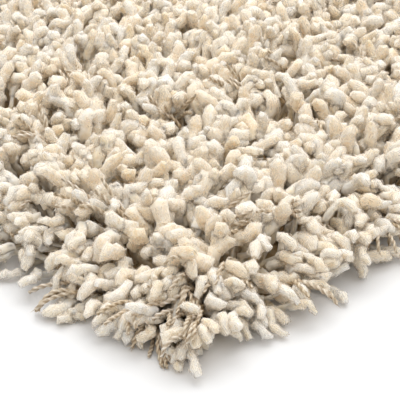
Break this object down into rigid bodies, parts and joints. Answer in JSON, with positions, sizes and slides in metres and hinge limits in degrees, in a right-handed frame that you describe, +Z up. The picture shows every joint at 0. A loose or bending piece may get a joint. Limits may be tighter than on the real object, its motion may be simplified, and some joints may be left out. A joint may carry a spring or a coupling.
{
  "type": "shag rug",
  "caption": "Small rectangular shag rug: cream felted and twisted yarns in a deep flopped pile on a woven ground cloth.",
  "frame": {"origin": "centre of the rug's outline, on the surface that it lies on", "axes": "+Z up out of the pile, Y along the rug's long side, X across it"},
  "size_m": [0.6752, 0.9728, 0.053],
  "materials": {
    "felted_yarn": "felted wool yarn, thick, soft and matt, cream",
    "twisted_yarn": "thin two-ply twisted yarn with a soft lustre, beige",
    "ground_cloth": "plain-woven natural cotton cloth with rows of tuft stitches"
  },
  "bodies": {
    "root": {"ground_cloth": "ground_cloth", "pile": "felted_yarn"}
  },
  "joints": []
}
